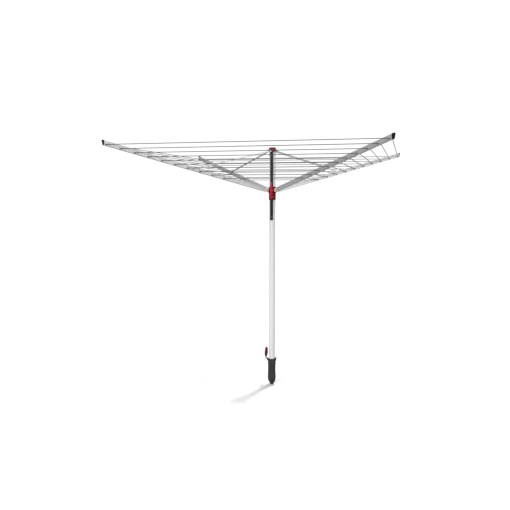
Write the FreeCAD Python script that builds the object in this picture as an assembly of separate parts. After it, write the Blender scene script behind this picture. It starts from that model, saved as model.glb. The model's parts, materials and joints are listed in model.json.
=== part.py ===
import FreeCAD, Part
import math
import os

# Rotary clothesline. Millimetres and degrees, +Z up, origin at the tip of the ground socket on the
# mast's axis. The release lever faces -Y and the four arms point along the diagonals.

# ---------------------------------------------------------------- driving dimensions
MAST_R = 25.0
MAST_WALL = 1.6
MAST_FOOT_Z = 56.0
MAST_TOP_Z = 1940.0

ARM_AZIMUTHS = {1: 225.0, 2: 315.0, 3: 45.0, 4: 135.0}
ARM_PIVOT_R = 50.0
ARM_PIVOT_Z = 1623.0
ARM_RISE = 13.7
ARM_W = 18.0
ARM_H = 34.0
ARM_WALL = 1.5
ARM_TUBE_START = 20.0
ARM_TUBE_END = 1360.0
ARM_CORNER_R = 3.0
CAP_W = 20.0
CAP_H = 36.0
CAP_THICK = 11.0
CAP_LEAN = 8.0
TUBE_LEAN = 2.0
FORK_R = 12.5
FORK_IN_Y = 6.1

STRUT_JOINT_X = 668.0
HUB_PIVOT_R = 36.0
HUB_PIVOT_Z = 1933.0
STRUT_IN_Y = 12.8
STRUT_W = 10.0
STRUT_H = 9.5
STRUT_EYE_R = 6.4
STRUT_GAUGE = 1.6

LINE_COUNT = 10
LINE_OUTER_R = 1366.0
LINE_PITCH = 101.3
LINE_R = 2.4
LINE_BORE_R = 2.7
LINE_BEND_R = 8.0
LINE_DROP = 8.0
GUIDE_IN = 13.0
GUIDE_OUT = 5.0
GUIDE_HALF_H = 6.0
GUIDE_HALF_W = 9.6

RUNNER_R = 28.0
RUNNER_BORE_R = 26.5
RUNNER_LOW_Z = 1544.5
RUNNER_HIGH_Z = 1650.0
PIVOT_PIN_R = 4.0
PIN_CLEARANCE = 0.08
LUG_W = 11.6
LUG_R = 11.0

RACK_HALF_W = 12.0
RACK_FRONT_Y = -28.5
RACK_LOW_Z = 1381.0
RACK_HIGH_Z = 1920.5
RACK_PITCH = 10.0
RACK_RIVET_ZS = (1406, 1576, 1746, 1896)

LEVER_PIVOT_Y = -35.0
LEVER_PIVOT_Z = 1570.0
LEVER_HALF_W = 12.0
LEVER_PIN_R = 3.0

HUB_RIM_R = 27.5
HUB_TOP_Z = 1964.0
HUB_APRON_Z = 1924.0
HUB_SCREW_Z = 1916.0

SOCKET_TOP_Z = 220.0
SOCKET_BORE_R = 28.05
SOCKET_FLOOR_Z = 46.0
GROUND_FIT_R = 33.0
GROUND_FIT_LOW_Z = 60.0
GROUND_FIT_HIGH_Z = 95.0
WAIST_R = 30.2
SLEEVE_R = 27.95
SLEEVE_BORE_R = 25.3

LID_PIVOT_X = -44.0
LID_PIVOT_Z = 226.0
LID_INNER_X = -48.0
LID_THICK = 4.0
LID_R = 42.0
LID_CENTRE_Z = 276.0

# ---------------------------------------------------------------- worked-out sizes
RISE = math.radians(ARM_RISE)
JOINT_R = ARM_PIVOT_R + STRUT_JOINT_X * math.cos(RISE)
JOINT_Z = ARM_PIVOT_Z + STRUT_JOINT_X * math.sin(RISE)
STRUT_LENGTH = math.hypot(JOINT_R - HUB_PIVOT_R, HUB_PIVOT_Z - JOINT_Z)
STRUT_DROP = math.degrees(math.asin((HUB_PIVOT_Z - JOINT_Z) / STRUT_LENGTH))
STRUT_OUT_Y = STRUT_IN_Y + STRUT_W
BEND_SET_IN = LINE_BEND_R * (math.sqrt(2) - 1)

# side outlines of the socket's latch and of the ears that carry the lid's hinge, as (x, z)
LATCH_OUTLINE = (
    (28.5, 198), (33.0, 198), (37.5, 211), (37.5, 236), (32.0, 236), (29.8, 231.5),
    (31.8, 229), (31.8, 219), (28.5, 219),
)
EAR_OUTLINE = (
    (-28.5, 197), (-28.5, SOCKET_TOP_Z - 0.5), (-36.0, SOCKET_TOP_Z - 0.5),
    (LID_PIVOT_X + 2.0, LID_PIVOT_Z + 4.0), (LID_PIVOT_X - 4.2, LID_PIVOT_Z - 1.5), (-33.0, 200),
)

ORIGIN = FreeCAD.Vector(0, 0, 0)
X = FreeCAD.Vector(1, 0, 0)
Y = FreeCAD.Vector(0, 1, 0)
Z = FreeCAD.Vector(0, 0, 1)


# ---------------------------------------------------------------- shape helpers
def vec(x, y, z):
    return FreeCAD.Vector(x, y, z)


def box(x0, x1, y0, y1, z0, z1):
    return Part.makeBox(x1 - x0, y1 - y0, z1 - z0, vec(x0, y0, z0))


def rod(radius, start, axis, length):
    return Part.makeCylinder(radius, length, start, axis)


def ring(outer_r, inner_r, z0, z1):
    outer = rod(outer_r, vec(0, 0, z0), Z, z1 - z0)
    return outer.cut(rod(inner_r, vec(0, 0, z0 - 1), Z, z1 - z0 + 2))


def edges_along(shape, axis):
    """Straight edges of a box-like shape that run along one axis."""
    found = []
    for edge in shape.Edges:
        if abs(abs(edge.tangentAt(edge.FirstParameter).dot(axis)) - 1) < 1e-6:
            found.append(edge)
    return found


def bar(x0, x1, width, z0, z1, corner_r):
    """A bar along X, centred on y = 0, with its four long edges rounded."""
    body = box(x0, x1, -width / 2, width / 2, z0, z1)
    return body.makeFillet(corner_r, edges_along(body, X))


def plate(points, axis, thickness):
    """A flat outline of corner points, given a thickness along an axis."""
    outline = Part.makePolygon(points + [points[0]])
    return Part.Face(outline).extrude(axis * thickness)


def revolved(edges):
    """A closed outline in the XZ plane, turned about the Z axis."""
    return Part.Face(Part.Wire(edges)).revolve(ORIGIN, Z, 360)


def to_sector(shape, k):
    """From a frame whose X points outwards along arm k to the clothesline's frame."""
    placed = shape.copy()
    placed.rotate(ORIGIN, Z, ARM_AZIMUTHS[k])
    return placed


def to_arm(shape, k):
    """From the arm's own frame, pivot at the origin and arm along X, to its open position."""
    placed = shape.copy()
    placed.rotate(ORIGIN, Y, -ARM_RISE)
    placed.translate(vec(ARM_PIVOT_R, 0, ARM_PIVOT_Z))
    return to_sector(placed, k)


def to_strut(shape, k):
    """From the strut's own frame, hub pivot at the origin, to its open position."""
    placed = shape.copy()
    placed.rotate(ORIGIN, Y, STRUT_DROP)
    placed.translate(vec(HUB_PIVOT_R, 0, HUB_PIVOT_Z))
    return to_sector(placed, k)


def export(name, shape):
    shape.exportStep("parts/" + name + ".step")


# ---------------------------------------------------------------- ground socket and lid
def socket_body():
    top_r = 31.0
    tip_r = 8.0
    shoulder_z = 42.0
    outline = [
        vec(0, 0, 0),
        vec(tip_r, 0, 0),
        vec(15.5, 0, 9),
        vec(21.5, 0, 26),
        vec(24, 0, 34),
        vec(WAIST_R, 0, shoulder_z),
    ]
    edges = []
    for start, end in zip(outline, outline[1:]):
        edges.append(Part.LineSegment(start, end).toShape())
    low = vec(GROUND_FIT_R, 0, GROUND_FIT_LOW_Z)
    high = vec(GROUND_FIT_R, 0, GROUND_FIT_HIGH_Z)
    waist_low = vec(WAIST_R, 0, 112)
    waist_high = vec(WAIST_R, 0, 156)
    neck = vec(WAIST_R, 0, 206)
    rim = vec(top_r, 0, 211)
    top = vec(top_r, 0, SOCKET_TOP_Z)
    edges.append(Part.Arc(outline[-1], vec(32.4, 0, 51), low).toShape())
    edges.append(Part.LineSegment(low, high).toShape())
    edges.append(Part.Arc(high, vec(31.4, 0, 105), waist_low).toShape())
    edges.append(Part.LineSegment(waist_low, waist_high).toShape())
    edges.append(Part.Arc(waist_high, vec(32.9, 0, 181), neck).toShape())
    edges.append(Part.LineSegment(neck, rim).toShape())
    edges.append(Part.LineSegment(rim, top).toShape())
    edges.append(Part.LineSegment(top, vec(0, 0, SOCKET_TOP_Z)).toShape())
    edges.append(Part.LineSegment(vec(0, 0, SOCKET_TOP_Z), ORIGIN).toShape())
    body = revolved(edges)
    fin_thick = 3.0
    for turn in range(4):
        fin = box(10, 31, -fin_thick / 2, fin_thick / 2, 9, 52)
        fin = fin.cut(plate([vec(31.1, -2, 34), vec(31.1, -2, 8.9), vec(16, -2, 8.9)], Y, 4))
        fin.rotate(ORIGIN, Z, 90 * turn)
        body = body.fuse(fin)
    latch = plate([vec(x, -7, z) for x, z in LATCH_OUTLINE], Y, 14)
    body = body.fuse(latch.makeFillet(1.2, edges_along(latch, X)))
    for side in (-1, 1):
        ear = plate([vec(x, -1.5, z) for x, z in EAR_OUTLINE], Y, 3)
        ear = ear.fuse(rod(4.5, vec(LID_PIVOT_X, -1.5, LID_PIVOT_Z), Y, 3))
        ear.translate(vec(0, 6.7 * side, 0))
        body = body.fuse(ear)
    body = body.cut(rod(SOCKET_BORE_R, vec(0, 0, SOCKET_FLOOR_Z), Z, 200))
    body = body.cut(rod(5, vec(0, 0, -1), Z, 60))
    body = body.cut(rod(2.0, vec(LID_PIVOT_X, -10, LID_PIVOT_Z), Y, 20))
    return body.removeSplitter()


def lid_hinge_pin():
    pin = rod(2.0, vec(LID_PIVOT_X, -8.2, LID_PIVOT_Z), Y, 16.4)
    for y in (-9.4, 8.2):
        pin = pin.fuse(rod(3.2, vec(LID_PIVOT_X, y, LID_PIVOT_Z), Y, 1.2))
    return pin.removeSplitter()


def socket_lid():
    centre = vec(LID_INNER_X - LID_THICK, 0, LID_CENTRE_Z)
    disc = rod(LID_R, centre, X, LID_THICK)
    disc = disc.makeFillet(1.4, disc.Edges)
    lip = rod(LID_R - 2.4, centre, X, LID_THICK + 5.0)
    lip = lip.cut(rod(LID_R - 5.0, centre, X, LID_THICK + 6.0))
    lip = lip.common(box(LID_INNER_X - 1, -20, -50, 50, LID_CENTRE_Z - 50, LID_CENTRE_Z + 50))
    return disc.fuse(lip).removeSplitter()


def lid_strap():
    """Moulded strap: hinge knuckle, a cranked neck and a flat pad on the back of the lid."""
    half_w = 4.9
    outer_x = LID_INNER_X - LID_THICK
    knuckle = rod(4.0, vec(LID_PIVOT_X, -half_w, LID_PIVOT_Z), Y, 2 * half_w)
    points = [
        vec(LID_PIVOT_X - 3.6, -half_w, LID_PIVOT_Z - 1),
        vec(LID_PIVOT_X - 1.0, -half_w, LID_PIVOT_Z + 3.6),
        vec(outer_x, -half_w, 234),
        vec(outer_x, -half_w, 262),
        vec(outer_x - 3, -half_w, 262),
        vec(outer_x - 3, -half_w, 229.5),
    ]
    strap = knuckle.fuse(plate(points, Y, 2 * half_w))
    pad = rod(11, vec(outer_x - 3, 0, 262), X, 3)
    strap = strap.fuse(pad).fuse(box(outer_x - 3, outer_x, -11, 11, 238, 262))
    strap = strap.cut(rod(2.0 + PIN_CLEARANCE, vec(LID_PIVOT_X, -10, LID_PIVOT_Z), Y, 20))
    return strap.removeSplitter()


def socket_sleeve():
    floor_z = SOCKET_FLOOR_Z + 0.3
    floor_top = MAST_FOOT_Z - 4.1
    tube = ring(SLEEVE_R, SLEEVE_BORE_R, floor_z, SOCKET_TOP_Z + 4.5)
    floor = ring(SLEEVE_R, 8.0, floor_z, floor_top)
    flange = ring(30.5, SLEEVE_BORE_R, SOCKET_TOP_Z + 0.3, SOCKET_TOP_Z + 4.5)
    flange = flange.makeChamfer(1.0, [flange.Edges[0]])
    return tube.fuse(floor).fuse(flange).removeSplitter()


# ---------------------------------------------------------------- mast
def mast_tube():
    tube = ring(MAST_R, MAST_R - MAST_WALL, MAST_FOOT_Z, MAST_TOP_Z)
    screw_hole = rod(2.5, vec(-40, 0, HUB_SCREW_Z), X, 80)
    return tube.cut(screw_hole)


def mast_foot_plug():
    flange = ring(MAST_R, 16, MAST_FOOT_Z - 4, MAST_FOOT_Z)
    spigot = ring(MAST_R - MAST_WALL, 18, MAST_FOOT_Z, MAST_FOOT_Z + 34)
    return flange.fuse(spigot).removeSplitter()


def rack_strip():
    strip = box(-RACK_HALF_W, RACK_HALF_W, RACK_FRONT_Y, -18, RACK_LOW_Z, RACK_HIGH_Z)
    strip = strip.cut(rod(MAST_R, vec(0, 0, RACK_LOW_Z - 1), Z, 600))
    notches = []
    count = int((RACK_HIGH_Z - RACK_LOW_Z) / RACK_PITCH) - 1
    for i in range(count):
        z = RACK_LOW_Z + RACK_PITCH * (i + 1)
        notches.append(box(-7, 7, RACK_FRONT_Y - 1, RACK_FRONT_Y + 1.8, z - 2.5, z + 2.5))
    strip = strip.cut(Part.makeCompound(notches))
    for z in RACK_RIVET_ZS:
        strip = strip.cut(rod(1.9, vec(0, -30, z), Y, 8))
    return strip


def rack_rivets():
    rivets = []
    for z in RACK_RIVET_ZS:
        rivets.append(rod(1.9, vec(0, RACK_FRONT_Y, z), Y, -RACK_FRONT_Y - MAST_R))
    return Part.makeCompound(rivets)


# ---------------------------------------------------------------- top hub
def hub_apron():
    """Front and back aprons under the rim, pointed downwards, with a nose above the rack."""
    skirt = rod(HUB_RIM_R, vec(0, 0, HUB_APRON_Z), Z, MAST_TOP_Z - HUB_APRON_Z)
    nose = [(-12, MAST_TOP_Z + 6), (12, MAST_TOP_Z + 6), (12, HUB_APRON_Z + 6),
            (8, RACK_HIGH_Z + 0.5), (-8, RACK_HIGH_Z + 0.5), (-12, HUB_APRON_Z + 6)]
    skirt = skirt.fuse(plate([vec(x, RACK_FRONT_Y, z) for x, z in nose], Y, 8))
    skirt = skirt.cut(rod(MAST_R, vec(0, 0, 1900), Z, MAST_TOP_Z - 1900))
    for side in (-1, 1):
        flank = [(side * 29, MAST_TOP_Z), (side * 12, HUB_APRON_Z), (side * 12, 1900),
                 (side * 29, 1900)]
        skirt = skirt.cut(plate([vec(x, -40, z) for x, z in flank], Y, 80))
    return skirt


def top_hub():
    """Rim over the mast, spigot inside it, and a pinwheel of lugs that carry the struts."""
    rim = rod(HUB_RIM_R, vec(0, 0, MAST_TOP_Z), Z, HUB_TOP_Z - 4 - MAST_TOP_Z)
    spigot = rod(MAST_R - MAST_WALL, vec(0, 0, MAST_TOP_Z - 36), Z, 36)
    hub = rim.fuse(spigot).fuse(hub_apron())
    lug_in = STRUT_OUT_Y + 0.5
    for k in ARM_AZIMUTHS:
        lug = box(11.9, HUB_PIVOT_R, lug_in, lug_in + 4, HUB_PIVOT_Z - 7, HUB_PIVOT_Z + 7)
        lug = lug.fuse(rod(7, vec(HUB_PIVOT_R, lug_in, HUB_PIVOT_Z), Y, 4))
        lug = lug.fuse(box(2, 24, lug_in, lug_in + 4, MAST_TOP_Z + 0.5, MAST_TOP_Z + 9))
        lug = lug.fuse(box(2, 20, 14, lug_in + 4, MAST_TOP_Z + 2, MAST_TOP_Z + 9))
        lug = lug.cut(rod(PIVOT_PIN_R, vec(HUB_PIVOT_R, 10, HUB_PIVOT_Z), Y, 30))
        hub = hub.fuse(to_sector(lug, k))
    pocket = rod(21.9, vec(0, 0, MAST_TOP_Z + 8), Z, 30)
    hollow = rod(19.5, vec(0, 0, MAST_TOP_Z - 37), Z, 35)
    hub = hub.cut(pocket).cut(hollow)
    hub = hub.cut(rod(2.5, vec(-40, 0, HUB_SCREW_Z), X, 80))
    return hub.removeSplitter()


def top_cap():
    disc = rod(HUB_RIM_R, vec(0, 0, HUB_TOP_Z - 4), Z, 4)
    disc = disc.makeFillet(2.5, [max(disc.Edges, key=lambda edge: edge.BoundBox.ZMin)])
    boss = ring(21.8, 19.5, HUB_TOP_Z - 10, HUB_TOP_Z - 4)
    return disc.fuse(boss).removeSplitter()


def hub_screws():
    screws = []
    for side in (-1, 1):
        shank = rod(2.5, vec(19.6 * side, 0, HUB_SCREW_Z), X * side, 5.4)
        head = rod(4.4, vec(MAST_R * side, 0, HUB_SCREW_Z), X * side, 2.2)
        head = head.cut(rod(MAST_R, vec(0, 0, HUB_SCREW_Z - 6), Z, 12))
        drive = box(-0.6, 0.6, -3.2, 3.2, -0.6, 0.6)
        drive.translate(vec((MAST_R + 2.2) * side, 0, HUB_SCREW_Z))
        screws.append(shank.fuse(head).cut(drive).removeSplitter())
    return Part.makeCompound(screws)


def strut_pivot_pins():
    pins = []
    lug_out = STRUT_OUT_Y + 4.5
    for k in ARM_AZIMUTHS:
        start = vec(HUB_PIVOT_R, STRUT_IN_Y + 0.3, HUB_PIVOT_Z)
        pin = rod(PIVOT_PIN_R, start, Y, lug_out - start.y)
        head = rod(6.2, vec(HUB_PIVOT_R, lug_out, HUB_PIVOT_Z), Y, 2)
        pins.append(to_sector(pin.fuse(head).removeSplitter(), k))
    return Part.makeCompound(pins)


# ---------------------------------------------------------------- runner and lever
def runner_body():
    """Sliding collar: barrel, open at the front for the rack, lever cheeks and arm lugs."""
    cheek_in = LEVER_HALF_W + 0.6
    cheek_out = 15.5
    body = rod(RUNNER_R, vec(0, 0, RUNNER_LOW_Z), Z, RUNNER_HIGH_Z - RUNNER_LOW_Z)
    for z0, z1 in ((RUNNER_LOW_Z, RUNNER_LOW_Z + 5.5), (RUNNER_HIGH_Z - 9, RUNNER_HIGH_Z)):
        body = body.fuse(box(-cheek_out, cheek_out, -31.2, -18, z0, z1))
    for side in (-1, 1):
        cheek = box(cheek_in, cheek_out, -40, -20, RUNNER_LOW_Z + 1.5, 1604)
        cheek = cheek.makeFillet(2.5, [e for e in edges_along(cheek, X) if e.CenterOfMass.y < -30])
        wall = box(cheek_in, cheek_out, -30.5, -20, 1600, RUNNER_HIGH_Z)
        cheek = cheek.fuse(wall)
        if side < 0:
            cheek = cheek.mirror(ORIGIN, X)
        body = body.fuse(cheek)
    half = LUG_W / 2
    z0 = ARM_PIVOT_Z
    for k in ARM_AZIMUTHS:
        lug = rod(LUG_R, vec(ARM_PIVOT_R, -half, z0), Y, LUG_W)
        lug = lug.fuse(box(22, ARM_PIVOT_R, -half, half, z0 - LUG_R, z0 + LUG_R))
        web = [(22, z0 - 10), (45, z0 - 10), (22, z0 - 32)]
        lug = lug.fuse(plate([vec(x, -half, z) for x, z in web], Y, LUG_W))
        body = body.fuse(to_sector(lug, k))
    body = body.cut(rod(RUNNER_BORE_R, vec(0, 0, 1500), Z, 200))
    channel = box(-RACK_HALF_W - 0.4, RACK_HALF_W + 0.4, RACK_FRONT_Y - 0.5, -18, 1500, 1700)
    body = body.cut(channel)
    for k in ARM_AZIMUTHS:
        hole = rod(PIVOT_PIN_R, vec(ARM_PIVOT_R, -20, ARM_PIVOT_Z), Y, 40)
        body = body.cut(to_sector(hole, k))
    body = body.cut(rod(LEVER_PIN_R, vec(-30, LEVER_PIVOT_Y, LEVER_PIVOT_Z), X, 60))
    return body.removeSplitter()


def runner_bushes():
    """Two low-friction glide rings pressed into the runner, open at the front for the rack."""
    rings = []
    for z in (RUNNER_LOW_Z + 6, RUNNER_HIGH_Z - 20):
        bush = ring(RUNNER_BORE_R, MAST_R + 0.3, z, z + 14)
        gap = box(-RACK_HALF_W - 0.8, RACK_HALF_W + 0.8, -40, -10, z - 1, z + 15)
        rings.append(bush.cut(gap))
    return Part.makeCompound(rings)


def arm_pivot_pins():
    pins = []
    reach = ARM_W / 2 + 0.3
    for k in ARM_AZIMUTHS:
        pin = rod(PIVOT_PIN_R, vec(ARM_PIVOT_R, -reach, ARM_PIVOT_Z), Y, 2 * reach)
        for y in (-reach - 1.5, reach):
            pin = pin.fuse(rod(5.8, vec(ARM_PIVOT_R, y, ARM_PIVOT_Z), Y, 1.5))
        pins.append(to_sector(pin.removeSplitter(), k))
    return Part.makeCompound(pins)


def lever_pivot_pin():
    pin = rod(LEVER_PIN_R, vec(-15.5, LEVER_PIVOT_Y, LEVER_PIVOT_Z), X, 31)
    for x in (-16.7, 15.5):
        pin = pin.fuse(rod(4.6, vec(x, LEVER_PIVOT_Y, LEVER_PIVOT_Z), X, 1.2))
    return pin.removeSplitter()


def lever_spring():
    """Torsion spring round the lever's pin; it pushes the pawl towards the rack."""
    wire_r = 0.6
    coil_r = 4.4
    pitch = 1.6
    turns = 4
    path = Part.makeHelix(pitch, pitch * turns, coil_r)
    section = Part.Wire(Part.makeCircle(wire_r, vec(coil_r, 0, 0), Y))
    coil = Part.Wire(path).makePipeShell([section], True, True)
    coil.rotate(ORIGIN, Y, 90)
    coil.translate(vec(-pitch * turns / 2, LEVER_PIVOT_Y, LEVER_PIVOT_Z))
    return coil


def release_lever():
    side = [
        (-34.2, 1553), (-38.5, 1550), (-43.0, 1560), (-45.5, 1590), (-44.0, 1624),
        (-38.0, 1688), (-36.4, 1690), (-34.6, 1688), (-33.8, 1640), (-31.8, 1628),
    ]
    body = plate([vec(-LEVER_HALF_W, y, z) for y, z in side], X, 2 * LEVER_HALF_W)
    for sign in (-1, 1):
        trim = [
            (sign * (LEVER_HALF_W + 1), 1624), (sign * LEVER_HALF_W, 1624),
            (sign * 8.0, 1655), (sign * 4.5, 1692), (sign * (LEVER_HALF_W + 1), 1692),
        ]
        body = body.cut(plate([vec(x, -60, z) for x, z in trim], Y, 60))
        foot = [(sign * (LEVER_HALF_W + 1), 1562), (sign * LEVER_HALF_W, 1562),
                (sign * 8.5, 1549), (sign * (LEVER_HALF_W + 1), 1549)]
        body = body.cut(plate([vec(x, -60, z) for x, z in foot], Y, 60))
    body = body.cut(box(-9.5, 9.5, -41.5, -20, 1559, 1632))
    body = body.cut(rod(LEVER_PIN_R + PIN_CLEARANCE, vec(-20, LEVER_PIVOT_Y, LEVER_PIVOT_Z), X, 40))
    return body.removeSplitter()


def lever_pawl():
    """Steel pawl in the lever; its tip stands just off the face of the rack."""
    tip_y = RACK_FRONT_Y - 0.4
    points = [vec(-6.5, -41.5, 1586), vec(-6.5, -41.5, 1606), vec(-6.5, -33, 1600),
              vec(-6.5, tip_y, 1598), vec(-6.5, tip_y, 1594), vec(-6.5, -33, 1590)]
    return plate(points, X, 13)


# ---------------------------------------------------------------- arms and lines
def line_radius(i):
    return LINE_OUTER_R - LINE_PITCH * i


def line_station(i):
    """Distance along the arm, from its pivot, of the point that carries line i."""
    radial = line_radius(i) - BEND_SET_IN - ARM_PIVOT_R - LINE_DROP * math.sin(RISE)
    return radial / math.cos(RISE)


def line_height(i):
    return ARM_PIVOT_Z + line_station(i) * math.sin(RISE) - LINE_DROP * math.cos(RISE)


def line_run(i, radius):
    """One line's bend at the arm and its two level legs, as far as the next sectors' lines."""
    corner = line_radius(i)
    half = math.sqrt(0.5)
    z = line_height(i)
    end = corner / 2
    tangent = LINE_BEND_R * half
    left_end = vec(end, end, z)
    left = vec(corner - tangent, tangent, z)
    apex = vec(corner - BEND_SET_IN, 0, z)
    right = vec(corner - tangent, -tangent, z)
    right_end = vec(end, -end, z)
    path = Part.Wire([
        Part.LineSegment(left_end, left).toShape(),
        Part.Arc(left, apex, right).toShape(),
        Part.LineSegment(right, right_end).toShape(),
    ])
    section = Part.Wire(Part.makeCircle(radius, left_end, vec(1, -1, 0)))
    return path.makePipeShell([section], True, False)


def from_sector_to_arm(shape):
    """A shape in the sector frame, taken back to the arm's own frame."""
    placed = shape.copy()
    placed.translate(vec(-ARM_PIVOT_R, 0, -ARM_PIVOT_Z))
    placed.rotate(ORIGIN, Y, ARM_RISE)
    return placed


def slanted_end(shape, x_mid, lean, keep_inner=True):
    """Cuts a bar along X on a slanted plane, lean further out than x_mid at the cap's top."""
    reach = 60 if keep_inner else -60
    tall = CAP_H
    waste = [(x_mid - 2 * lean, -tall), (x_mid + reach, -tall), (x_mid + reach, tall),
             (x_mid + 2 * lean, tall)]
    return shape.cut(plate([vec(x, -tall, z) for x, z in waste], Y, 2 * tall))


def arm_tube():
    low = -ARM_H / 2
    high = ARM_H / 2
    long_end = ARM_TUBE_END + 2 * TUBE_LEAN
    tube = bar(ARM_TUBE_START, long_end, ARM_W, low, high, ARM_CORNER_R)
    inner = bar(ARM_TUBE_START - 1, long_end + 1, ARM_W - 2 * ARM_WALL,
                low + ARM_WALL, high - ARM_WALL, ARM_CORNER_R - ARM_WALL)
    tube = slanted_end(tube.cut(inner), ARM_TUBE_END, TUBE_LEAN)
    windows = [guide_block(i, 0.1, ARM_W) for i in range(LINE_COUNT)]
    tube = tube.cut(Part.makeCompound(windows))
    return tube.cut(rod(3.0, vec(STRUT_JOINT_X, -20, 0), Y, 40))


def arm_heel():
    """Plastic inner end: fork on the runner's pin, collar, and a plug inside the tube."""
    half_w = ARM_W / 2
    half_h = ARM_H / 2
    side = [(0, -FORK_R), (15, -half_h), (17, -half_h), (17, half_h), (15, half_h), (0, FORK_R)]
    fork = rod(FORK_R, vec(0, -half_w, 0), Y, ARM_W)
    fork = fork.fuse(plate([vec(x, -half_w, z) for x, z in side], Y, ARM_W))
    fork = fork.cut(box(-20, 15.5, -FORK_IN_Y, FORK_IN_Y, -20, 20))
    collar = bar(15.5, ARM_TUBE_START, ARM_W, -half_h, half_h, ARM_CORNER_R)
    inset = ARM_WALL + 0.1
    plug = bar(ARM_TUBE_START, ARM_TUBE_START + 26, ARM_W - 2 * inset,
               inset - half_h, half_h - inset, 1.4)
    heel = fork.common(bar(-20, ARM_TUBE_START, ARM_W, -half_h, half_h, ARM_CORNER_R))
    heel = heel.fuse(collar).fuse(plug)
    heel = heel.cut(rod(PIVOT_PIN_R + PIN_CLEARANCE, vec(0, -20, 0), Y, 40))
    return heel.removeSplitter()


def arm_tip_cap():
    """Slanted end cap with a plug in the tube above the outermost line's bush."""
    cap_end = ARM_TUBE_END + CAP_THICK
    body = bar(ARM_TUBE_END - 20, cap_end + 20, CAP_W, -CAP_H / 2, CAP_H / 2, 4)
    body = slanted_end(body, cap_end, CAP_LEAN)
    body = body.makeFillet(1.5, [e for e in body.Edges if e.BoundBox.XMin > ARM_TUBE_END - 19])
    body = slanted_end(body, ARM_TUBE_END, TUBE_LEAN, False)
    inset = ARM_WALL + 0.1
    plug = bar(ARM_TUBE_END - 22, ARM_TUBE_END + 2, ARM_W - 2 * inset, -0.5,
               ARM_H / 2 - inset, 1.4)
    return body.fuse(plug).removeSplitter()


def guide_block(i, clearance, half_w):
    """Outline of the bush that carries line i through the arm's side walls."""
    x = line_station(i)
    z = -LINE_DROP
    block = box(x - GUIDE_IN - clearance, x + GUIDE_OUT + clearance, -half_w, half_w,
                z - GUIDE_HALF_H - clearance, z + GUIDE_HALF_H + clearance)
    return block.makeFillet(3.0, edges_along(block, Y))


def arm_line_guides():
    guides = []
    for i in range(LINE_COUNT):
        guide = guide_block(i, 0.0, GUIDE_HALF_W)
        guides.append(guide.cut(from_sector_to_arm(line_run(i, LINE_BORE_R))))
    return Part.makeCompound(guides)


def arm_rivet():
    """Through rivet at the strut's joint, flush on the side that faces the strut."""
    shank = rod(3.0, vec(STRUT_JOINT_X, -ARM_W / 2, 0), Y, ARM_W)
    head = rod(6.0, vec(STRUT_JOINT_X, -ARM_W / 2 - 2, 0), Y, 2)
    head = head.makeFillet(1.2, [min(head.Edges, key=lambda edge: edge.BoundBox.YMax)])
    return shank.fuse(head).removeSplitter()


def clothes_lines():
    return Part.makeCompound([line_run(i, LINE_R) for i in range(LINE_COUNT)])


# ---------------------------------------------------------------- struts
def strut_channel():
    """Pressed channel, open underneath, with a round eye at each end."""
    half = STRUT_H / 2
    centre_y = STRUT_IN_Y + STRUT_W / 2
    body = box(0, STRUT_LENGTH, STRUT_IN_Y, STRUT_OUT_Y, -half, half)
    groove = box(14, STRUT_LENGTH - 14, centre_y - STRUT_W / 2 + STRUT_GAUGE,
                 centre_y + STRUT_W / 2 - STRUT_GAUGE, -half - 1, half - STRUT_GAUGE)
    body = body.cut(groove)
    for x in (0, STRUT_LENGTH):
        body = body.fuse(rod(STRUT_EYE_R, vec(x, STRUT_IN_Y, 0), Y, STRUT_W))
    body = body.cut(rod(PIVOT_PIN_R + PIN_CLEARANCE, vec(0, 0, 0), Y, 40))
    body = body.cut(rod(PIVOT_PIN_R, vec(STRUT_LENGTH, 0, 0), Y, 40))
    return body.removeSplitter()


def strut_rivet():
    """Rivet in the strut's outer eye; its end stops just off the side of the arm."""
    start = ARM_W / 2 + 1.0
    shank = rod(PIVOT_PIN_R, vec(STRUT_LENGTH, start, 0), Y, STRUT_OUT_Y - start)
    head = rod(6.2, vec(STRUT_LENGTH, STRUT_OUT_Y, 0), Y, 2)
    return shank.fuse(head).removeSplitter()


# ---------------------------------------------------------------- build
os.makedirs("parts", exist_ok=True)

single_parts = {
    "socket_body": socket_body,
    "lid_hinge_pin": lid_hinge_pin,
    "socket_lid": socket_lid,
    "lid_strap": lid_strap,
    "socket_sleeve": socket_sleeve,
    "mast_tube": mast_tube,
    "mast_foot_plug": mast_foot_plug,
    "rack_strip": rack_strip,
    "rack_rivets": rack_rivets,
    "top_hub": top_hub,
    "top_cap": top_cap,
    "hub_screws": hub_screws,
    "strut_pivot_pins": strut_pivot_pins,
    "runner_body": runner_body,
    "runner_bushes": runner_bushes,
    "arm_pivot_pins": arm_pivot_pins,
    "lever_pivot_pin": lever_pivot_pin,
    "lever_spring": lever_spring,
    "release_lever": release_lever,
    "lever_pawl": lever_pawl,
}
for name, make in single_parts.items():
    export(name, make())

arm_parts = {
    "tube": arm_tube(),
    "heel": arm_heel(),
    "tip_cap": arm_tip_cap(),
    "line_guides": arm_line_guides(),
    "rivet": arm_rivet(),
}
lines = clothes_lines()
strut_parts = {"channel": strut_channel(), "rivet": strut_rivet()}
for k in ARM_AZIMUTHS:
    for piece, shape in arm_parts.items():
        export("arm_%d_%s" % (k, piece), to_arm(shape, k))
    export("clothes_line_%d" % k, to_sector(lines, k))
    for piece, shape in strut_parts.items():
        export("strut_%d_%s" % (k, piece), to_strut(shape, k))
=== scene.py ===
import json
import math

import bmesh
import bpy
from bpy.props import FloatProperty, FloatVectorProperty, IntProperty, PointerProperty
from mathutils import Matrix, Vector


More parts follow.
